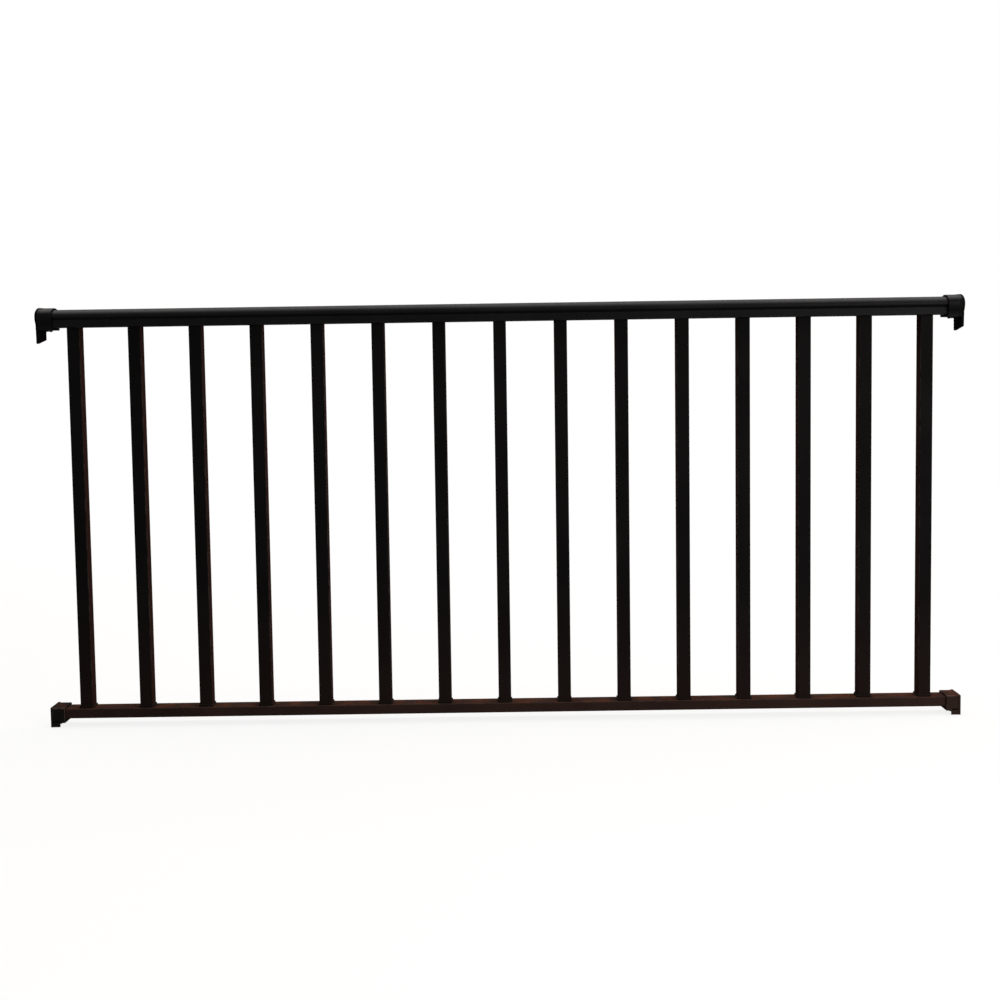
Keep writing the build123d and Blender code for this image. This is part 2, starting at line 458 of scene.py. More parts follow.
def prism(
    loops: list[np.ndarray], stations: np.ndarray, axis: Axis, insets: np.ndarray | None = None
) -> Shell:
    """Section carried along an axis, with flat ends.

    Ring s of the outer outline is the outline less inset s times its mitred directions, so insets that
    follow a quarter circle round the ends' edges. The holes keep their outline. The end rings count as
    unworn, so that wear and the painted edge highlight stay off the end faces.

    Args:
        loops: Counterclockwise outer outline, then clockwise holes.
        stations: Places along the axis, in order.
        axis: Direction in which the section is carried.
        insets: Inset of the outer outline at each station.

    Returns:
        The closed surface.
    """
    insets = np.zeros(len(stations)) if insets is None else insets
    rings = [np.repeat(loop[None], len(stations), 0) for loop in loops]
    rings[0] = rings[0] - insets[:, None, None] * outward(loops[0])
    worn = [np.repeat(sharpness(loop)[None], len(stations), 0) for loop in loops]
    worn[0] = np.maximum(worn[0], np.clip(insets / FULL_WEAR, 0, 1)[:, None])
    for rows in worn:
        rows[[0, -1]] = 0.0
    shell = loft(rings, stations, axis)
    shell.edge = np.concatenate([rows.ravel() for rows in worn])
    return shell


def rounding(radius: float, steps: int = 4) -> tuple[np.ndarray, np.ndarray]:
    """Quarter round on an edge: distances from the face, r (1 - cos t), and insets, r (1 - sin t)."""
    angle = np.linspace(0, math.pi / 2, steps + 1)
    return radius * (1 - np.cos(angle)), radius * (1 - np.sin(angle))


@dataclass(frozen=True)
class ScrewHoles:
    """Pair of round holes on either side of a plate's middle."""

    spread: float
    level: float
    radius: float

    def outlines(self) -> list[np.ndarray]:
        """Outlines of both holes."""
        return [circle((side * self.spread, self.level), self.radius) for side in (-1, 1)]


def pierced_plate(outline: np.ndarray, holes: ScrewHoles, ease: float = 0.3, radius: float = 0.7) -> Shell:
    """Back plate on the left post face, chamfered by `ease` at the post and rounded on its other edge.

    Args:
        outline: Plate's outline, counterclockwise.
        holes: Screw holes through it.
        ease: Chamfer of the edge at the post.
        radius: Radius of the edge away from the post.

    Returns:
        The closed surface.
    """
    depth, inset = rounding(radius)
    stations = np.concatenate([[0.0, ease], PANEL.plate - depth[::-1]])
    insets = np.concatenate([[ease, 0.0], inset[::-1]])
    return prism([outline, *holes.outlines()], stations, Axis.ALONG, insets)


@dataclass(frozen=True)
class Mouth:
    """Open end of a socket: place, outer round and how the inside narrows, as (growth, depth) pairs."""

    at: float
    radius: float
    steps: int
    ease: tuple[tuple[float, float], ...]

    def rings(self, outer: np.ndarray, socket: np.ndarray) -> tuple[list[np.ndarray], list[float]]:
        """Rings from the outside's outline round the mouth and down the socket, and their places.

        Args:
            outer: Outline of the outside.
            socket: Outline of the inside, with as many points.

        Returns:
            The rings and their places along the panel.
        """
        depth, inset = rounding(self.radius, self.steps)
        rings = [outer - size * outward(outer) for size in inset[::-1]]
        rings += [socket + growth * outward(socket) for growth, _ in self.ease]
        places = [*(self.at - depth[::-1]), *(self.at - deep for _, deep in self.ease), PANEL.plate]
        return [*rings, socket], places


@dataclass(frozen=True)
class Cloud:
    """Noise seen through a smooth step: spots for each metre, octaves and the values that give 0 and 1."""

    scale: float
    detail: float
    low: float
    high: float


class NodeBench:
    """Places and joins the nodes of one shader tree."""

    def __init__(self, tree: bpy.types.NodeTree) -> None:
        """Keep the tree that the nodes go into."""
        self.tree = tree

    def add(self, kind: str, **inputs: object) -> bpy.types.Node:
        """New node with its inputs, named with _ for a space, set to values or joined to output sockets.

        Args:
            kind: Blender's name of the node type.
            inputs: Values or output sockets by input name, with _ for a space.

        Returns:
            The new node.
        """
        node = self.tree.nodes.new(kind)
        for name, value in inputs.items():
            self.feed(node.inputs[name.replace("_", " ")], value)
        return node

    def feed(self, socket: Socket, value: object) -> None:
        """Join an output socket to an input, or set the input's value.

        Args:
            socket: Input socket.
            value: Output socket or value.
        """
        if isinstance(value, bpy.types.NodeSocket):
            self.tree.links.new(value, socket)
        else:
            socket.default_value = value

    def math(self, operation: str, first: object, second: object = 0.0, third: object = 0.0) -> Socket:
        """Result of a Math node on up to three values or sockets.

        Args:
            operation: Blender's name of the operation.
            first: First value or socket.
            second: Second value or socket.
            third: Third value or socket.

        Returns:
            The result's socket.
        """
        node = self.tree.nodes.new("ShaderNodeMath")
        node.operation = operation
        for socket, value in zip(node.inputs, (first, second, third)):
            self.feed(socket, value)
        return node.outputs[0]

    def ramp(self, value: object, low: float, high: float) -> Socket:
        """Smooth step of a value from 0 at `low` to 1 at `high`.

        Args:
            value: Socket to read.
            low: Value that gives 0.
            high: Value that gives 1.

        Returns:
            The step's socket.
        """
        node = self.add("ShaderNodeMapRange", Value=value, From_Min=low, From_Max=high)
        node.interpolation_type = "SMOOTHSTEP"
        return node.outputs["Result"]

    def mix(self, factor: object, first: object, second: object) -> Socket:
        """Blend of two colours or colour sockets; `factor` is the second one's share.

        Args:
            factor: Share of the second one.
            first: First colour or its socket.
            second: Second colour or its socket.

        Returns:
            The colour's socket.
        """
        node = self.tree.nodes.new("ShaderNodeMix")
        node.data_type = "RGBA"
        for index, value in ((0, factor), (6, first), (7, second)):
            self.feed(node.inputs[index], (*value, 1.0) if isinstance(value, tuple) else value)
        return node.outputs[2]

    def blend(self, factor: object, first: bpy.types.Node, second: bpy.types.Node) -> bpy.types.Node:
        """Mix of two shader nodes; `factor` is the second one's share.

        Args:
            factor: Share of the second one.
            first: First shader.
            second: Second shader.

        Returns:
            The mixing node.
        """
        node = self.add("ShaderNodeMixShader", Fac=factor)
        self.tree.links.new(first.outputs[0], node.inputs[1])
        self.tree.links.new(second.outputs[0], node.inputs[2])
        return node

    def noise(self, vector: object, scale: object, detail: float) -> Socket:
        """Value of a Noise Texture with `scale` spots for each metre and `detail` octaves."""
        return self.add("ShaderNodeTexNoise", Vector=vector, Scale=scale, Detail=detail).outputs["Fac"]

    def cloud(self, vector: object, kind: Cloud) -> Socket:
        """Noise of one kind, stepped from 0 to 1."""
        return self.ramp(self.noise(vector, kind.scale, kind.detail), kind.low, kind.high)

    def place(self) -> Socket:
        """Coordinates in the panel's frame, in metres."""
        return self.add("ShaderNodeTexCoord").outputs["Object"]

    def split(self, vector: Socket) -> bpy.types.bpy_prop_collection:
        """X, Y and Z of a vector."""
        return self.add("ShaderNodeSeparateXYZ", Vector=vector).outputs

    def normal(self) -> bpy.types.bpy_prop_collection:
        """X, Y and Z of the surface's direction."""
        return self.split(self.add("ShaderNodeNewGeometry").outputs["Normal"])

    def group(self, tree: bpy.types.NodeTree, **values: float) -> bpy.types.bpy_prop_collection:
        """Outputs of a shared group placed with its own values.

        Args:
            tree: Shared group.
            values: Its input values by name.

        Returns:
            The group node's outputs.
        """
        node = self.tree.nodes.new("ShaderNodeGroup")
        node.node_tree = tree
        for name, value in values.items():
            node.inputs[name].default_value = value
        return node.outputs


class Effects:
    """Shader groups that the finishes share, each built once.

    A turn is the pair of values of a direction's component between which a face comes into a mask.
    """

    drift = Cloud(7.0, 4.0, 0.3, 0.7)
    breaks = Cloud(55.0, 5.0, 0.38, 0.68)
    patches = Cloud(38.0, 6.0, 0.35, 0.75)
    streaks = Cloud(1.0, 3.0, 0.5, 0.75)
    smudges = Cloud(17.0, 5.0, 0.5, 0.8)
    streak_scale = (6.0, 260.0, 260.0)
    pebble_share = -0.5
    peel_scale, peel_detail = 0.35, 3.0
    fleck_scale, fleck_detail = 0.12, 4.0
    # Painted bounce light at the panel's foot: how high it reaches, its spots and its sway.
    warm_reach = 0.32
    warm_spots, warm_detail, warm_sway = 14.0, 3.0, 0.06
    # The next three turns place painted side light and shade, painted underside shade and the top-face mask.
    side_turn = (0.3, 0.8)
    underside_turn = (-0.12, 0.55)
    top_turn = (0.55, 0.98)
    worn_edge = (0.25, 0.9)

    def __init__(self) -> None:
        """Build the groups."""
        self.grain = self.powder_grain()
        shapes = {
            Mask.WARM_BOUNCE: self.painted_foot_bounce,
            Mask.CROSS: self.painted_side_light_and_shade,
            Mask.UNDERSIDE_SHADE: self.painted_underside_shade,
            Mask.RUB_AND_HIGHLIGHT: self.rubbed_and_highlit_edges,
            Mask.DUST_AND_TOP_LIGHT: self.dust_and_painted_top_light,
            Mask.MARKS: self.hand_marks,
        }
        self.masks = {kind: self.mask(kind, shape) for kind, shape in shapes.items()}

    @staticmethod
    def empty(name: str, inputs: dict[str, float], outputs: list[str]) -> tuple[NodeBench, object, object]:
        """Empty group with its sockets.

        Args:
            name: Name of the group.
            inputs: Default of each input value.
            outputs: Names of the output values.

        Returns:
            The bench, the input node's sockets and the output node's sockets.
        """
        tree = bpy.data.node_groups.new(name, "ShaderNodeTree")
        for label, value in inputs.items():
            socket = tree.interface.new_socket(label, in_out="INPUT", socket_type="NodeSocketFloat")
            socket.default_value = value
        for label in outputs:
            tree.interface.new_socket(label, in_out="OUTPUT", socket_type="NodeSocketFloat")
        source, sink = tree.nodes.new("NodeGroupInput"), tree.nodes.new("NodeGroupOutput")
        return NodeBench(tree), source.outputs, sink.inputs

    def mask(self, kind: Mask, shape: Callable[[NodeBench], Socket]) -> bpy.types.NodeTree:
        """Group that gives a mask's shape times its amount.

        Args:
            kind: Mask to build.
            shape: Function that builds its shape.

        Returns:
            The group's tree.
        """
        bench, given, out = self.empty(kind.value, {"Amount": 0.5}, ["Mask"])
        bench.feed(out["Mask"], bench.math("MULTIPLY", shape(bench), given["Amount"]))
        return bench.tree

    def powder_grain(self) -> bpy.types.NodeTree:
        """Pebbled skin of a powder coat: its height, broad drifts of tone and fine flecks.

        The height is a slow peel less half the distance to the nearest pebble's middle.

        Returns:
            The group's tree.
        """
        bench, given, out = self.empty("powder_grain", {"Grain": 1100.0}, ["Height", "Drift", "Fleck"])
        place = bench.place()
        pebble = bench.add("ShaderNodeTexVoronoi", Vector=place, Scale=given["Grain"]).outputs["Distance"]
        peel = bench.noise(place, bench.math("MULTIPLY", given["Grain"], self.peel_scale), self.peel_detail)
        bench.feed(out["Height"], bench.math("MULTIPLY_ADD", pebble, self.pebble_share, peel))
        bench.feed(out["Drift"], bench.cloud(place, self.drift))
        fine = bench.math("MULTIPLY", given["Grain"], self.fleck_scale)
        bench.feed(out["Fleck"], bench.noise(place, fine, self.fleck_detail))
        return bench.tree

    def painted_foot_bounce(self, bench: NodeBench) -> Socket:
        """Painted bounce light: a bronze tint that fades upwards from the foot of the panel.

        It is a smooth step of 1 less the height over the reach, with noise added to the height.

        Args:
            bench: Bench of the tree that the nodes go into.

        Returns:
            Socket of the mask's shape, from 0 to 1.
        """
        place = bench.place()
        spots = bench.noise(place, self.warm_spots, self.warm_detail)
        uneven = bench.math("MULTIPLY_ADD", spots, self.warm_sway, bench.split(place)["Z"])
        fade = bench.math("SUBTRACT", 1.0, bench.math("DIVIDE", uneven, self.warm_reach))
        return bench.ramp(fade, 0.0, 1.0)

    def painted_side_light_and_shade(self, bench: NodeBench) -> Socket:
        """Painted light and shade on faces that look along the panel, which are also made rougher."""
        return bench.ramp(bench.math("ABSOLUTE", bench.normal()["X"]), *self.side_turn)

    def painted_underside_shade(self, bench: NodeBench) -> Socket:
        """Painted shade on faces that look down, such as the underside of an overhang, which are also made
        duller.
        """
        return bench.ramp(bench.math("MULTIPLY", bench.normal()["Z"], -1.0), *self.underside_turn)

    def rubbed_and_highlit_edges(self, bench: NodeBench) -> Socket:
        """Edges where the coat is rubbed smooth and lightened by a painted highlight, broken up along their
        length.

        Args:
            bench: Bench of the tree that the nodes go into.

        Returns:
            Socket of the mask's shape, from 0 to 1.
        """
        tag = bench.add("ShaderNodeAttribute")
        tag.attribute_name = "edge"
        broken = bench.cloud(bench.place(), self.breaks)
        return bench.math("MULTIPLY", bench.ramp(tag.outputs["Fac"], *self.worn_edge), broken)

    def dust_and_painted_top_light(self, bench: NodeBench) -> Socket:
        """Thin uneven dust on the faces that look up; on the bronze coats its brown tone is painted top
        light.
        """
        patch = bench.cloud(bench.place(), self.patches)
        return bench.math("MULTIPLY", bench.ramp(bench.normal()["Z"], *self.top_turn), patch)

    def hand_marks(self, bench: NodeBench) -> Socket:
        """Faint wiped streaks, long in the direction of the rails, and small smudges.

        Args:
            bench: Bench of the tree that the nodes go into.

        Returns:
            Socket of the mask's shape, from 0 to 1.
        """
        place = bench.place()
        stretch = bench.add("ShaderNodeMapping", Vector=place, Scale=self.streak_scale).outputs["Vector"]
        streak = bench.cloud(stretch, self.streaks)
        return bench.math("MAXIMUM", streak, bench.cloud(place, self.smudges))


@dataclass(frozen=True)
class Finish:
    """Powder coat or moulded skin of one kind of piece, and how much of each mask it has."""

    name: str
    shade: Rgb
    drift: Rgb
    roughness: float
    specular: float
    grain: float = 1100.0
    relief: float = 0.00012
    # Amounts of the masks: the foot, side and underside masks paint light and shade, the top-face mask paints
    # brown top light on the bronze coats, and the edge mask paints highlights besides real wear.
    foot_bounce: float = 0.0
    cross: float = 0.0
    underside_shade: float = 0.0
    rub_and_highlight: float = 0.35
    dust_and_top_light: float = 0.12
    marks: float = 0.5
    foot_bounce_tone: Rgb = srgb(40, 26, 21)
    side_tone: Rgb = srgb(9, 8, 8)
    underside_tone: Rgb = srgb(5, 5, 5)
    rub_highlight_tone: Rgb = srgb(62, 58, 56)
    dust_and_top_tone: Rgb = srgb(112, 104, 96)
    fleck_rough: float = 0.16
    cross_rough: float = 0.4
    underside_rough: float = 0.4
    rub_rough: float = -0.15
    dust_rough: float = 0.5
    marks_rough: float = -0.10
    bump: float = 0.6

    def layers(self) -> list[tuple[Mask, float, Rgb | None, float]]:
        """Masks in their order, each with its amount, its tone, if any, and the roughness it adds.

        Returns:
            Mask, amount, tone and added roughness of each layer.
        """
        return [
            (Mask.WARM_BOUNCE, self.foot_bounce, self.foot_bounce_tone, 0.0),
            (Mask.CROSS, self.cross, self.side_tone, self.cross_rough),
            (Mask.UNDERSIDE_SHADE, self.underside_shade, self.underside_tone, self.underside_rough),
            (Mask.RUB_AND_HIGHLIGHT, self.rub_and_highlight, self.rub_highlight_tone, self.rub_rough),
            (Mask.DUST_AND_TOP_LIGHT, self.dust_and_top_light, self.dust_and_top_tone, self.dust_rough),
            (Mask.MARKS, self.marks, None, self.marks_rough),
        ]

    def material(self, effects: Effects) -> bpy.types.Material:
        """Build the finish.

        Args:
            effects: Shared shader groups.

        Returns:
            The material.
        """
        material = bpy.data.materials.new(self.name)
        material.use_nodes = True
        bench = NodeBench(material.node_tree)
        shader = material.node_tree.nodes["Principled BSDF"]
        grain = bench.group(effects.grain, Grain=self.grain)
        colour = bench.mix(grain["Drift"], self.shade, self.drift)
        even = self.roughness - self.fleck_rough / 2
        rough = bench.math("MULTIPLY_ADD", grain["Fleck"], self.fleck_rough, even)
        for kind, amount, tone, sheen in self.layers():
            if not amount:
                continue
            mask = bench.group(effects.masks[kind], Amount=amount)["Mask"]
            rough = bench.math("MULTIPLY_ADD", mask, sheen, rough)
            if tone:
                colour = bench.mix(mask, colour, tone)
        bump = bench.add("ShaderNodeBump", Height=grain["Height"], Strength=self.bump, Distance=self.relief)
        bench.feed(shader.inputs["Base Color"], colour)
        bench.feed(shader.inputs["Roughness"], rough)
        bench.feed(shader.inputs["Normal"], bump.outputs["Normal"])
        shader.inputs["Specular IOR Level"].default_value = self.specular
        return material


# Handrail: painted shade on faces that look down, under the cap's overhang.
RAIL_COAT = Finish(
    "black_satin_rail_coat", srgb(20, 19, 20), srgb(15, 14, 15), 0.36, 0.032,
    underside_shade=0.95, rub_and_highlight=0.25, dust_and_top_light=0.05, marks=0.8,
)
# Balusters: painted bounce light tints the feet, and painted side light tints the faces that look along the
# panel.
BALUSTER_COAT = Finish(
    "black_baluster_coat", srgb(18, 17, 17), srgb(14, 13, 13), 0.75, 0.008,
    foot_bounce=0.36, cross=0.8, side_tone=srgb(35, 20, 16),
)
# Bottom rail: painted brown top light on the faces that look up.
BRONZE_COAT = Finish(
    "dark_bronze_rail_coat", srgb(46, 33, 29), srgb(38, 27, 24), 0.9, 0.008,
    dust_and_top_light=0.55, dust_and_top_tone=srgb(78, 42, 23),
)
# Black castings: painted shade on faces that look along the panel and on faces that look down, and a painted
# highlight on rubbed edges.
BLACK_CASTING = Finish(
    "black_cast_bracket_coat", srgb(12, 11, 12), srgb(9, 8, 9), 0.3, 0.032, grain=700.0, relief=0.0002,
    cross=1.0, side_tone=srgb(3, 3, 3), cross_rough=0.6, underside_shade=1.0, rub_and_highlight=0.2,
)
# Back plates: painted shade on faces that look along the panel and a painted highlight on rubbed edges.
BLACK_PLATE = Finish(
    "black_back_plate_coat", srgb(12, 11, 11), srgb(9, 8, 8), 0.8, 0.008, grain=700.0, relief=0.0002,
    cross=1.0, side_tone=srgb(5, 4, 4), rub_and_highlight=0.5,
)
# Bronze castings: painted shade on faces that look along the panel, painted brown top light and a painted
# highlight on rubbed edges.
BRONZE_CASTING = Finish(
    "bronze_cast_bracket_coat", srgb(46, 34, 30), srgb(38, 28, 25), 0.85, 0.012, grain=700.0, relief=0.0002,
    cross=0.6, rub_and_highlight=0.4, rub_highlight_tone=srgb(104, 86, 78), dust_and_top_light=0.6, dust_and_top_tone=srgb(84, 44, 29),
)
# Painted shade: a darker copy of the bronze casting coat, for the left box socket.
SHADED_BRONZE_CASTING = replace(
    BRONZE_CASTING, name="painted_shade_bronze_cast_bracket_coat", shade=srgb(27, 25, 22), drift=srgb(21, 19, 17), dust_and_top_light=0.4
)
BOOT_SKIN = Finish(
    "black_moulded_boot", srgb(24, 19, 17), srgb(19, 15, 13), 0.75, 0.012, grain=1600.0, relief=0.00008,
    rub_and_highlight=0.1, dust_and_top_light=0.05,
)


@dataclass
class Workshop:
    """Dresses finished surfaces: gives them their material and body, and hides the CAD nodes they stand for.
    """

    effects: Effects = field(default_factory=Effects)
    materials: dict[str, bpy.types.Material] = field(default_factory=dict)

    def fit(self, shell: Shell, name: str, finish: Finish, slot: Slot, *nodes: str) -> None:
        """Make a piece of the panel.

        Args:
            shell: Surface of the piece.
            name: Name of the piece.
            finish: Finish it takes.
            slot: Material slot of the record; not used.
            nodes: CAD nodes that it stands for.
        """
        if finish.name not in self.materials:
            self.materials[finish.name] = finish.material(self.effects)
        piece = shell.to_object(name)
        piece.data.materials.append(self.materials[finish.name])
        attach(piece, BODY)
        if nodes:
            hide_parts(*nodes)
        LOG.info("%s: %d faces", name, len(piece.data.polygons))


@dataclass
class TopRail:
    """Oval snap-on cap over a closed rail body whose underside is punched for the balusters."""

    half: float = PANEL.rail_width / 2
    crease: float = 799.5
    body_top: float = 804.5
    cap_wall: float = 1.8
    rib: float = 1.6
    rib_spread: float = 18.0
    snap_depth: float = 0.6
    snap_gap: float = 0.15
    punched_side: float = 25.8
    outer_steps: int = 96
    inner_steps: int = 48

    def inner_axes(self) -> Point:
        """Half width, rise and drop of the cap's inner oval.

        Returns:
            The three lengths.
        """
        half = self.half + PANEL.overhang
        drop = ellipse_drop(half, self.half, PANEL.widest - self.crease)
        return half - self.cap_wall, PANEL.crown - PANEL.widest - self.cap_wall, drop - self.cap_wall

    def lip_top(self) -> float:
        """Level at which the cap's lips meet its inner oval.

        It lies below the widest line by the drop times the root of 1 less the square of the lip's place
        over the half width.

        Returns:
            The level.
        """
        half, _, drop = self.inner_axes()
        beside = (self.half + self.snap_gap) / half
        return PANEL.widest - drop * math.sqrt(1 - beside**2)

    def cap_outline(self) -> np.ndarray:
        """Cap's section: outer oval, left lip, inner oval with two ribs, right lip.

        Returns:
            The outline's points, counterclockwise.
        """
        half, rise, drop = self.inner_axes()
        wall, lip, widest = self.cap_wall, self.lip_top(), PANEL.widest
        cut = widest - self.crease
        outer = half_oval(half + wall, rise + wall, drop + wall, cut, widest, self.outer_steps)
        inner = half_oval(half, rise, drop, widest - lip, widest, self.inner_steps)[::-1]
        faces = np.array([-1, 1])[:, None] * self.rib_spread / 2 + np.array([-1, -1, 1, 1]) * self.rib / 2
        tops = widest + rise * np.sqrt(1 - (faces / half) ** 2)
        levels = np.where(np.array([True, False, False, True]), tops, self.body_top)
        ribs = np.stack([faces, levels], -1)
        y = inner[:, 0]
        upper = inner[:, 1] > widest
        pieces = [
            inner[(y < ribs[0, 0, 0]) | (~upper & (y < 0))],
            ribs[0],
            inner[upper & (y > ribs[0, 3, 0]) & (y < ribs[1, 0, 0])],
            ribs[1],
            inner[(y > ribs[1, 3, 0]) | (~upper & (y > 0))],
        ]
        grip = self.half - self.snap_depth
        left = np.array([(-grip, self.crease), (-grip, lip)])
        return np.concatenate([outer, left, *pieces, left[::-1] * np.array([-1, 1])])

    def body_outlines(self) -> tuple[np.ndarray, np.ndarray]:
        """Outer and inner outline of the rail body, with points beside the punched holes.

        Returns:
            The outer outline, counterclockwise, and the inner one, clockwise.
        """
        half, hole, foot, top = self.half, self.punched_side / 2, PANEL.skirt_foot, self.body_top
        groove = half - self.snap_depth - self.snap_gap
        low, high = self.crease - self.snap_gap, self.lip_top() + self.snap_gap
        right = [(half, foot), (half, low), (groove, low), (groove, high), (half, high), (half, top)]
        left = [(-y, z) for y, z in right[::-1]]
        radii = np.zeros(len(right) * 2 + 2)
        radii[[2, -1]] = PANEL.rail_corner
        outer = rounded_polygon(np.array([(-hole, foot), (hole, foot)] + right + left), radii)
        within, floor, roof = half - PANEL.rail_wall, foot + PANEL.rail_wall, top - PANEL.rail_wall
        inner = [(hole, floor), (-hole, floor), (-within, floor), (-within, roof)]
        return outer, np.array([*inner, (within, roof), (within, floor)])

    def body_shell(self, places: np.ndarray) -> Shell:
        """Rail body with its punched holes.

        The faces of the outer and inner underside between the hole's two outline points are left out
        where a baluster passes, and four faces line each hole from one underside to the other.

        Args:
            places: Middles of the balusters along the panel.

        Returns:
            The closed surface.
        """
        edges = (places[:, None] + np.array([-0.5, 0.5]) * self.punched_side).ravel()
        stations = np.concatenate([[PANEL.rail_start], edges, [PANEL.rail_end]])
        outer, inner = self.body_outlines()
        shell = prism([outer, inner], stations, Axis.ALONG)
        punched = np.arange(1, len(stations) - 1, 2)
        a, b = punched * len(outer), (punched + 1) * len(outer)
        c = punched * len(inner) + len(stations) * len(outer)
        d = c + len(inner)
        walls = [[a, a + 1, c, c + 1], [b + 1, b, d + 1, d], [b, a, c + 1, d + 1], [a + 1, b + 1, d, c]]
        keep = np.ones(len(shell.quads), bool)
        keep[a] = keep[c - len(outer)] = False
        shell.quads = np.concatenate([shell.quads[keep], *(np.stack(wall, -1) for wall in walls)])
        return shell

    def build(self, shop: Workshop, places: np.ndarray) -> None:
        """Make the cap and the rail body.

        Args:
            shop: Workshop that dresses the pieces.
            places: Middles of the balusters along the panel.
        """
        stations = np.linspace(PANEL.rail_start, PANEL.rail_end, RAIL_RINGS)
        cap = prism([self.cap_outline()], stations, Axis.ALONG)
        shop.fit(cap, "oval_handrail_cap", RAIL_COAT, Slot.HANDRAIL, "top_rail_cap")
        shop.fit(self.body_shell(places), "punched_rail_body", RAIL_COAT, Slot.HANDRAIL, "top_rail_body")


@dataclass
class BottomRail:
    """Channel with its web on top and a lip along the foot of each flange."""

    lip: float = 7.0
    lip_corner: float = 0.36
    support: float = 0.2

    def outline(self) -> np.ndarray:
        """Channel's section: round the outside, then up into the channel and back.

        Returns:
            The outline's points, counterclockwise.
        """
        half, top, wall = PANEL.rail_width / 2, PANEL.rail_top, PANEL.rail_wall
        within, roof = half - wall, top - wall
        slot = within - self.lip
        right = [(slot, 0), (half, 0), (half, top)]
        cavity = [(slot, wall), (within, wall), (within, roof)]
        corners = right + [(-y, z) for y, z in right[::-1]] + [(-y, z) for y, z in cavity] + cavity[::-1]
        radii = np.zeros(len(corners))
        radii[:6] = PANEL.rail_corner
        radii[[0, 5]] = self.lip_corner
        return rounded_polygon(np.array(corners), radii, support=self.support)

    def build(self, shop: Workshop) -> None:
        """Make the rail."""
        rail = prism([self.outline()], np.linspace(PANEL.rail_start, PANEL.rail_end, RAIL_RINGS), Axis.ALONG)
        shop.fit(rail, "bottom_channel_rail", BRONZE_COAT, Slot.BOTTOM_RAIL, "bottom_rail")


@dataclass
class Balusters:
    """Square tubes with a moulded boot round the foot of each."""

    count: int = 15
    first: float = 69.85
    pitch: float = 120.65
    side: float = 25.4
    wall: float = 1.4
    corner: float = 1.6
    inner_corner: float = 0.4
    inner_steps: int = 2
    foot: float = 20.55
    head: float = 802.5
    boot_half: float = 14.8
    boot_top: float = 23.25
    boot_corner: float = 3.6
    boot_ease: float = 0.35
    boot_taper: float = 0.3
    pocket_half: float = 12.9
    pocket_corner: float = 1.7
    pocket_ease: float = 0.3
    pocket_taper: float = 0.2
    stub_half: float = 11.1
    stub_corner: float = 0.9
    stub_ease: float = 0.6
    stub_taper: float = 0.2
    stub_top: float = 30.05
    hollow_half: float = 9.6
    hollow_corner: float = 0.5
    rim: tuple[Point, ...] = ((0.0, 0.0, 0.75), (0.14, 0.1, 0.34), (0.4, 0.3, 0.1), (0.75, 0.6, 0.0))
    boot_wear: tuple[float, ...] = (0.4, 0.0, 0.0, 0.5, 1.0, 0.5)

    def places(self) -> np.ndarray:
        """Middles of the balusters along the panel."""
        return self.first + self.pitch * np.arange(self.count)

    def tube(self) -> Shell:
        """Baluster: rounded square tube.

        Returns:
            The closed surface.
        """
        half, within = self.side / 2, self.side / 2 - self.wall
        outer = rectangle(self.side, -half, half, self.corner)
        inner = rectangle(2 * within, -within, within, self.inner_corner, self.inner_steps)[::-1]
        return prism([outer, inner], np.linspace(self.foot, self.head, TUBE_RINGS), Axis.UP)

    def boot(self) -> Shell:
        """Boot: rings of rounded squares up the rim, down into the pocket and up over the stub.

        The rim's entries are inset, loss of corner radius and depth below the boot's top. A taper is what
        a corner's radius changes by over an eased edge, and the wear is that of the first rings.

        Returns:
            The closed surface.
        """
        half, corner, seat, top = self.boot_half, self.boot_corner, PANEL.rail_top, self.boot_top
        pocket, stub, hollow = self.pocket_half, self.stub_half, self.hollow_half
        rings = [
            (half - self.boot_ease, corner - self.boot_taper, seat),
            (half, corner, seat + self.boot_ease),
        ]
        rings += [(half - inset, corner - loss, top - depth) for inset, loss, depth in self.rim]
        rings += [
            (pocket + self.pocket_ease, self.pocket_corner + self.pocket_taper, top),
            (pocket, self.pocket_corner, top - self.pocket_ease),
            (pocket, self.pocket_corner, self.foot),
            (stub, self.stub_corner, self.foot),
            (stub, self.stub_corner, self.stub_top - self.stub_ease),
            (stub - self.stub_ease, self.stub_corner - self.stub_taper, self.stub_top),
            (hollow, self.hollow_corner, self.stub_top),
            (hollow, self.hollow_corner, self.foot),
        ]
        outlines = np.stack([rectangle(2 * size, -size, size, radius) for size, radius, _ in rings])
        shell = loft([outlines], np.array([level for _, _, level in rings]), Axis.UP)
        worn = np.zeros(len(rings))
        worn[: len(self.boot_wear)] = self.boot_wear
        shell.edge = np.repeat(worn, outlines.shape[1])
        return shell

    def build(self, shop: Workshop) -> None:
        """Make every baluster and its boot.

        Args:
            shop: Workshop that dresses the pieces.
        """
        tube, boot = self.tube(), self.boot()
        for number, x in enumerate(self.places(), 1):
            tag = f"{number:02d}"
            shop.fit(tube.moved(x), f"square_tube_{tag}", BALUSTER_COAT, Slot.BALUSTERS, f"baluster_{tag}")
            shop.fit(boot.moved(x), f"moulded_boot_{tag}", BOOT_SKIN, Slot.BOOTS, f"baluster_boot_{tag}")


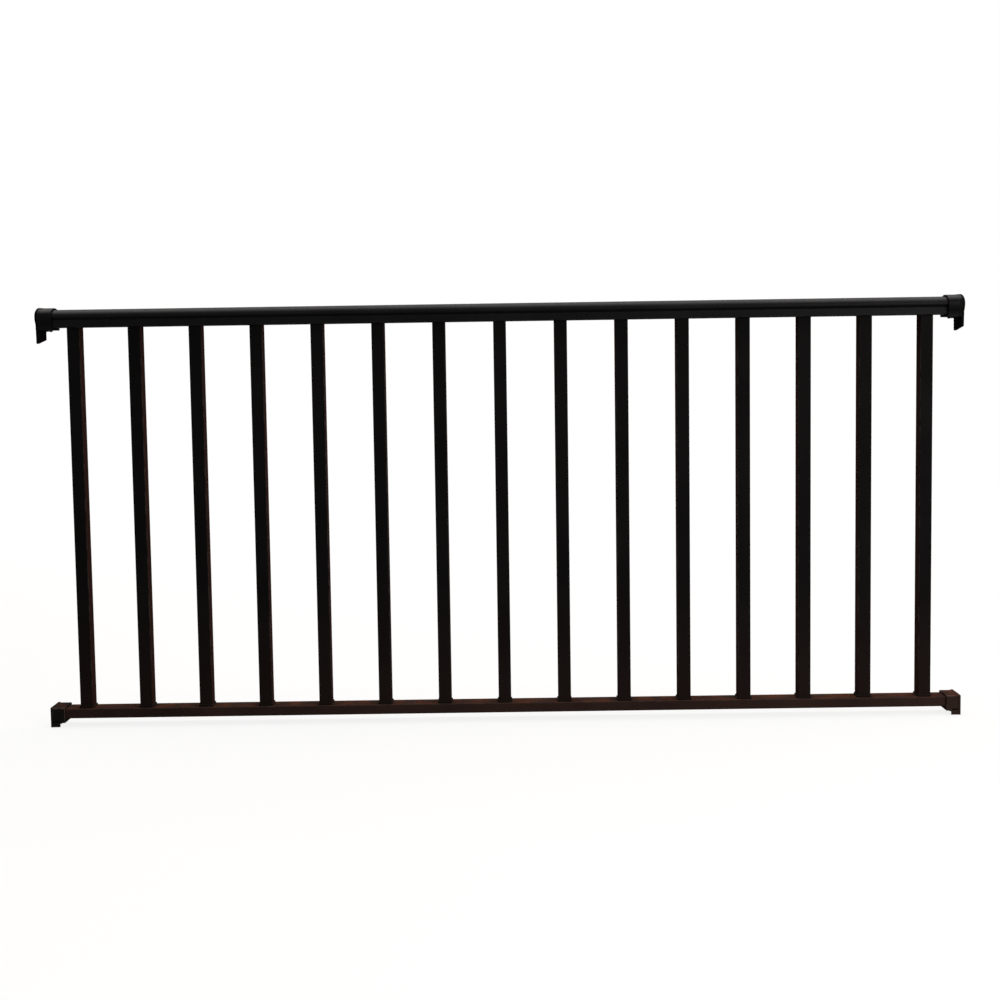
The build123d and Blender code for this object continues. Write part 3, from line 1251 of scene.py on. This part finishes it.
@dataclass
class TopBrackets:
    """Castings round the handrail ends: collar with a stepped rim, and a back plate with a slanted tongue."""

    flank: float = PANEL.rail_width / 2
    foot: float = PANEL.collar_foot
    foot_corner: float = 0.9
    foot_steps: int = 4
    bulge: float = 15.4
    undercut: float = 6.4
    fit_gap: float = 0.7
    growth: float = 3.6
    rim: float = 0.8
    rim_step: float = 4.3
    step_ease: float = 0.3
    step_depth: float = 0.06
    step_share: float = 0.4
    oval_steps: int = 84
    tongue_half: float = 23.0
    tongue_tip: float = 22.0
    tongue_low: float = 753.0
    tongue_slant: float = 8.0
    tongue_corner: float = 2.0
    holes: ScrewHoles = ScrewHoles(14.5, 770.5, 2.75)
    mouth: Mouth = Mouth(32.0, 1.7, 6, ((0.9, 0.0), (0.7, 0.5), (0.0, 3.0)))

    def oval(self, growth: float, cut: float) -> np.ndarray:
        """Rail's oval grown all round, down to where it meets the flank at `cut` below its widest line.

        Args:
            growth: Growth over the rail.
            cut: Depth below the widest line at which the oval ends.

        Returns:
            The curve's points, N by 2.
        """
        flank = self.flank + growth
        half, rise = flank + PANEL.overhang, PANEL.crown - PANEL.widest + growth
        return half_oval(half, rise, ellipse_drop(half, flank, cut), cut, PANEL.widest, self.oval_steps)

    def collar(self, growth: float, cut: float, foot: float) -> np.ndarray:
        """Rail's oval and skirt grown all round, down to `foot`, counterclockwise from the lower left.

        Args:
            growth: Growth over the rail.
            cut: Depth below the widest line at which the oval meets the flank.
            foot: Level of the underside.

        Returns:
            The outline's points, N by 2.
        """
        flank, above = self.flank + growth, PANEL.widest
        corners = np.array([(-flank, foot), (flank, foot), (flank, above), (-flank, above)])
        lower = rounded_polygon(corners, self.foot_corner * np.array([1, 1, 0, 0]), self.foot_steps)
        return np.concatenate([lower[:-2], self.oval(growth, cut)])

    def plate_outline(self) -> np.ndarray:
        """Back plate: the grown collar with the tongue below it, counterclockwise from the tongue.

        Returns:
            The outline's points, N by 2.
        """
        flank = self.flank + self.growth + self.rim
        oval = self.oval(self.growth + self.rim, self.bulge)
        wide, tip, low = self.tongue_half, self.tongue_tip, self.tongue_low
        tongue = [(-wide, self.foot), (-tip, low), (tip, low + self.tongue_slant), (wide, self.foot)]
        sides = [(flank, self.foot), tuple(oval[0]), tuple(oval[-1]), (-flank, self.foot)]
        radii = self.tongue_corner * np.array([0, 1, 1, 0, 0, 0, 0, 0])
        lower = rounded_polygon(np.array(tongue + sides), radii)
        cut = int(np.argmin(np.abs(lower - oval[0]).sum(1)))
        return np.concatenate([lower[:cut], oval, lower[cut + 2 :]])

    def socket_tube(self) -> Shell:
        """Left bracket's collar tube on its back plate: stepped rim, outside, mouth and socket.

        The rim's step is eased by one ring that lies the step's share of the way to the outside.

        Returns:
            The closed surface.
        """
        outer = self.collar(self.growth, self.bulge, self.foot)
        step = self.collar(self.growth + self.rim / 2, self.bulge, self.foot)
        socket = self.collar(self.fit_gap, self.undercut + self.fit_gap, PANEL.skirt_foot)
        mouth, mouth_places = self.mouth.rings(outer, socket)
        reach, ease, share = PANEL.plate + self.rim_step, self.step_ease, self.step_share
        eased = step * (1 - share) + outer * share
        rings = np.stack([step, step, eased, outer, outer, *mouth])
        places = [PANEL.plate, reach - ease, reach - self.step_depth, reach, reach + ease, *mouth_places]
        tube = loft([rings], np.array(places), Axis.ALONG, True)
        worn = np.zeros(len(rings))
        worn[[1, 2]] = 1.0
        tube.edge = np.repeat(worn, rings.shape[1])
        return tube

    def build(self, shop: Workshop) -> None:
        """Make both brackets; the right one is the left one turned half round.

        Args:
            shop: Workshop that dresses the pieces.
        """
        tube, plate = self.socket_tube(), pierced_plate(self.plate_outline(), self.holes)
        for end in End:
            name, slot = end.value, Slot.TOP_BRACKETS
            shop.fit(tube.at(end), f"{name}_rail_collar", BLACK_CASTING, slot, f"{name}_top_bracket")
            shop.fit(plate.at(end), f"{name}_tongue_plate", BLACK_PLATE, slot)


@dataclass
class BottomBrackets:
    """Castings round the bottom rail's ends: box socket, and a back plate whose lip hangs between cheeks."""

    width: float = 45.3
    high: float = 22.65
    corner: float = 2.0
    rim: float = 0.8
    lip_low: float = -16.7
    lip_corner: float = 1.2
    cheek: float = 2.9
    cheek_round: float = 1.2
    cheek_length: float = 18.0
    cheek_ease: float = 0.4
    cheek_root: float = 0.8
    socket_width: float = 39.5
    socket_high: float = 19.75
    socket_corner: float = 0.6
    holes: ScrewHoles = ScrewHoles(14.0, -12.65, 2.25)
    mouth: Mouth = Mouth(28.0, 0.9, 4, ((0.35, 0.0), (0.1, 0.1), (0.0, 0.35)))

    def cheeks(self) -> list[Shell]:
        """Two cheeks beside the lip, rounded along their lower edge and set into the plate and the box.

        Returns:
            The closed surfaces of the front and the back cheek.
        """
        outer, inner, top = self.width / 2, self.width / 2 - self.cheek, PANEL.box_low / 2
        corners = np.array([(inner, self.lip_low), (outer, self.lip_low), (outer, top), (inner, top)])
        radii = np.array([0, self.cheek_round, 0, 0])
        near = rounded_polygon(corners, radii)
        far = rounded_polygon(corners[::-1] * np.array([-1, 1]), radii[::-1])
        depth, inset = rounding(self.cheek_ease)
        stations = np.concatenate([[PANEL.plate - self.cheek_root], self.cheek_length - depth[::-1]])
        insets = np.concatenate([[0.0], inset[::-1]])
        return [prism([side], stations, Axis.ALONG, insets) for side in (near, far)]

    def casting(self) -> Shell:
        """Left bracket: pierced back plate, the box tube that stands on it and the cheeks below.

        Returns:
            The surfaces of the plate, the tube and the cheeks.
        """
        back = rectangle(self.width + 2 * self.rim, self.lip_low, self.high + self.rim, self.lip_corner)
        outer = rectangle(self.width, PANEL.box_low, self.high, self.corner)
        socket = rectangle(self.socket_width, 0.0, self.socket_high, self.socket_corner)
        mouth, places = self.mouth.rings(outer, socket)
        rings = np.stack([outer, *mouth])
        tube = loft([rings], np.array([PANEL.plate, *places]), Axis.ALONG, True)
        outside = len(mouth) - len(self.mouth.ease)
        worn = np.zeros(rings.shape[:2])
        worn[:outside] = sharpness(outer)
        worn[2:outside] = 1.0
        tube.edge = worn.ravel()
        return Shell.joined([pierced_plate(back, self.holes), tube, *self.cheeks()])

    def build(self, shop: Workshop) -> None:
        """Make both brackets; the right one is the left one turned half round.

        Args:
            shop: Workshop that dresses the pieces.
        """
        casting = self.casting()
        # The left box socket takes the darker copy of the coat, which is painted shade.
        for end, finish in ((End.LEFT, SHADED_BRONZE_CASTING), (End.RIGHT, BRONZE_CASTING)):
            name, slot = end.value, Slot.BOTTOM_BRACKETS
            shop.fit(casting.at(end), f"{name}_box_socket", finish, slot, f"{name}_bottom_bracket")


@dataclass
class Screws:
    """Painted hexagon-head screws, seen from below."""

    flange: float = 4.3
    across: float = 5.5
    height: float = 2.9
    points: int = 36
    crown: float = 0.44
    bevel: tuple[tuple[float, float], ...] = ((0.97, 0.12), (1.0, 0.35))
    root: float = 0.95
    rim: tuple[tuple[float, float], ...] = ((0.9, 0.9), (1.0, 0.55), (1.0, 0.0))
    collar_place: Point = (18.5, 9.525, PANEL.collar_foot)
    box_place: Point = (16.5, 13.55, PANEL.box_low)

    def head(self) -> Shell:
        """Head that hangs below z = 0: a round flange, then a hexagon.

        A hexagon's radius at angle t is half its width over the cosine of t's distance from the middle
        of its side. The crown is a share of the width, the bevel's entries are shares of the hexagon and
        heights over the crown, and the rim's entries are shares of the flange and depths.

        Returns:
            The closed surface.
        """
        angle = np.linspace(0, 2 * math.pi, self.points, endpoint=False)
        beside = np.mod(angle, math.pi / 3) - math.pi / 6
        hexagon, disc = self.across / 2 / np.cos(beside), np.ones(self.points)
        rings = [(disc * self.across * self.crown, -self.height)]
        rings += [(hexagon * share, over - self.height) for share, over in self.bevel]
        rings.append((hexagon, -self.root))
        rings += [(disc * self.flange * share, -depth) for share, depth in self.rim]
        direction = np.stack([np.cos(angle), np.sin(angle)], -1)
        outlines = np.stack([radius for radius, _ in rings])[:, :, None] * direction[None]
        return loft([outlines], np.array([level for _, level in rings]), Axis.UP)

    def build(self, shop: Workshop, places: np.ndarray) -> None:
        """Make the screws under the collars, the box sockets and the bottom rail's web.

        Args:
            shop: Workshop that dresses the pieces.
            places: Middles of the balusters along the panel.
        """
        head = self.head()
        kinds = (
            ("collar", self.collar_place, BLACK_CASTING, Slot.TOP_BRACKETS),
            ("box", self.box_place, BRONZE_CASTING, Slot.BOTTOM_BRACKETS),
        )
        for end in End:
            for name, (x, y, z), finish, slot in kinds:
                along = x if end is End.LEFT else PANEL.length - x
                pair = Shell.joined([head.moved(along, side * y, z) for side in (-1, 1)])
                shop.fit(pair, f"{end.value}_{name}_screws", finish, slot)
        web = PANEL.rail_top - PANEL.rail_wall
        row = Shell.joined([head.moved(x, 0.0, web) for x in places])
        shop.fit(row, "baluster_screws", BRONZE_COAT, Slot.BOTTOM_RAIL)


def pose(right: np.ndarray, up: np.ndarray, back: np.ndarray, place: Point) -> Matrix:
    """Matrix of an object from its three directions and its place."""
    columns = np.stack([right, up, back, place], -1)
    return Matrix(np.concatenate([columns, [[0.0, 0.0, 0.0, 1.0]]]).tolist())


@dataclass(frozen=True)
class Lamp:
    """Soft lamp: where it hangs and aims, its width and height in metres, its watts and linear colour."""

    name: str
    place: Point
    aim: Point
    size: tuple[float, float]
    power: float
    colour: Rgb = (1.0, 0.98, 0.96)
    upright: Point = (0.0, 1.0, 0.02)

    def hang(self) -> None:
        """Add the lamp to the scene."""
        data = bpy.data.lights.new(self.name, "AREA")
        data.shape, data.size, data.size_y = "RECTANGLE", *self.size
        data.energy, data.color = self.power, self.colour
        lamp = bpy.data.objects.new(self.name, data)
        back = np.array(self.place) - np.array(self.aim)
        back /= np.linalg.norm(back)
        across = np.cross(self.upright, back)
        across /= np.linalg.norm(across)
        lamp.matrix_world = pose(across, np.cross(back, across), back, self.place)
        bpy.context.scene.collection.objects.link(lamp)


LAMPS = (
    Lamp("top_softbox", (0.95, 0.45, 3.0), (0.95, 0.2, 0.6), (5.2, 2.4), 188.0),
    Lamp("right_fill", (2.9, -1.7, 1.0), (1.3, 0.0, 0.35), (2.2, 2.0), 58.0),
    Lamp("warm_rim", (5.2, 2.6, 1.1), (0.9, 0.0, 0.35), (1.4, 1.2), 90.0, (1.0, 0.55, 0.4)),
)


@dataclass
class Studio:
    """White sweep, soft lamps, plain sky and the camera at the photograph's place."""

    floor: float = -17.2
    back: float = 6200.0
    front: float = -6000.0
    left: float = -7500.0
    right: float = 9330.0
    wall: float = 4500.0
    bend: float = 1800.0
    bend_points: int = 25
    sky: float = 0.2
    paper_shade: Rgb = (0.34, 0.33, 0.32)
    glow_near: float = 1.18
    glow_far: float = 1.36
    glow_share: float = 0.72
    near: float = 0.2
    far: float = 4.0
    sensor: float = 36.0
    focal: float = 1.27056
    camera: Point = (0.92029, -2.53542, 0.70776)
    yaw: float = -0.0033
    pitch: float = 0.0663
    roll: float = -0.0150
    shift: float = -0.0555

    def sweep(self) -> None:
        """Floor that bends up into a back wall: a line, a quarter circle and a line carried sideways."""
        angle = np.linspace(0, math.pi / 2, self.bend_points)
        bend_y = self.back - self.bend + self.bend * np.sin(angle)
        bend_z = self.floor + self.bend * (1 - np.cos(angle))
        y = np.concatenate([[self.front], bend_y, [self.back]])
        z = np.concatenate([[self.floor], bend_z, [self.wall]])
        x = np.array([self.left, self.right])
        points = np.stack([np.repeat(x, len(y)), np.tile(y, 2), np.tile(z, 2)], -1)
        first = np.arange(len(y) - 1)
        quads = np.stack([first, first + len(y), first + len(y) + 1, first + 1], -1)
        shell = Shell(points, quads, np.zeros((0, 3), int), np.zeros(len(points)))
        piece = shell.to_object("studio_sweep")
        piece.data.materials.append(self.paper())

    @staticmethod
    def seen(bench: NodeBench) -> Socket:
        """Value that is 1 on rays of the camera, of reflections and of glass, and 0 on the rest.

        Args:
            bench: Bench of the tree that the nodes go into.

        Returns:
            The value's socket.
        """
        path = bench.add("ShaderNodeLightPath").outputs
        seen = bench.math("MAXIMUM", path["Is Camera Ray"], path["Is Glossy Ray"])
        return bench.math("MAXIMUM", seen, path["Is Transmission Ray"])

    def paper(self) -> bpy.types.Material:
        """White paper that the camera and reflections see at full white, with the object's shadow kept.

        The glow and the lit paper add up to about 1. Near the panel the lamps add more, so the glow is
        weaker there and a shadow shows. From below the paper is clear, so the panel's underside shows.

        Returns:
            The material.
        """
        material = bpy.data.materials.new("white_paper")
        material.use_nodes = True
        material.node_tree.nodes.clear()
        bench = NodeBench(material.node_tree)
        place, half = bench.split(bench.place()), PANEL.length / 2 * MM
        middle = bench.math("SUBTRACT", place["X"], half)
        beside = bench.math("SUBTRACT", bench.math("ABSOLUTE", middle), half)
        distance = bench.math("MAXIMUM", bench.math("ABSOLUTE", place["Y"]), beside)
        away = bench.ramp(distance, self.near, self.far)
        strength = bench.math("MULTIPLY_ADD", away, self.glow_far - self.glow_near, self.glow_near)
        diffuse = bench.add("ShaderNodeBsdfDiffuse", Color=(*self.paper_shade, 1.0))
        glow = bench.add("ShaderNodeEmission", Color=(1.0, 1.0, 1.0, 1.0), Strength=strength)
        lit = bench.blend(bench.math("MULTIPLY", self.seen(bench), self.glow_share), diffuse, glow)
        below = bench.add("ShaderNodeNewGeometry").outputs["Backfacing"]
        sheet = bench.blend(below, lit, bench.add("ShaderNodeBsdfTransparent"))
        bench.add("ShaderNodeOutputMaterial", Surface=sheet.outputs[0])
        return material

    def light(self) -> None:
        """Hang the lamps and set a plain sky that the camera and reflections see white."""
        world = bpy.data.worlds.new("plain_sky")
        world.use_nodes = True
        bench = NodeBench(world.node_tree)
        background = world.node_tree.nodes["Background"]
        background.inputs["Color"].default_value = (1.0, 1.0, 1.0, 1.0)
        bench.feed(background.inputs["Strength"], bench.math("MAXIMUM", self.seen(bench), self.sky))
        bpy.context.scene.world = world
        for lamp in LAMPS:
            lamp.hang()

    def shoot(self) -> None:
        """Set up the camera: yaw and pitch turn its axis, roll turns the picture."""
        cy, sy, cp, sp = math.cos(self.yaw), math.sin(self.yaw), math.cos(self.pitch), math.sin(self.pitch)
        ahead, level = np.array([sy * cp, cy * cp, -sp]), np.array([cy, -sy, 0.0])
        upward = np.cross(level, ahead)
        right = math.cos(self.roll) * level + math.sin(self.roll) * upward
        up = math.cos(self.roll) * upward - math.sin(self.roll) * level
        data = bpy.data.cameras.new("photo_camera")
        data.sensor_width = self.sensor
        data.lens = self.focal * self.sensor
        data.shift_y = self.shift
        camera = bpy.data.objects.new("photo_camera", data)
        camera.matrix_world = pose(right, up, -ahead, self.camera)
        bpy.context.scene.collection.objects.link(camera)
        bpy.context.scene.camera = camera

    def build(self) -> None:
        """Set the sweep, the lamps, the sky and the camera."""
        bpy.context.scene.view_settings.view_transform = "Standard"
        self.sweep()
        self.light()
        self.shoot()


def main() -> None:
    """Load the frame, build the panel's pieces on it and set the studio."""
    logging.basicConfig(level=logging.INFO, format="%(name)s %(message)s")
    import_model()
    shop = Workshop()
    balusters = Balusters()
    TopRail().build(shop, balusters.places())
    BottomRail().build(shop)
    balusters.build(shop)
    TopBrackets().build(shop)
    BottomBrackets().build(shop)
    Screws().build(shop, balusters.places())
    Studio().build()


if __name__ == "__main__":
    main()
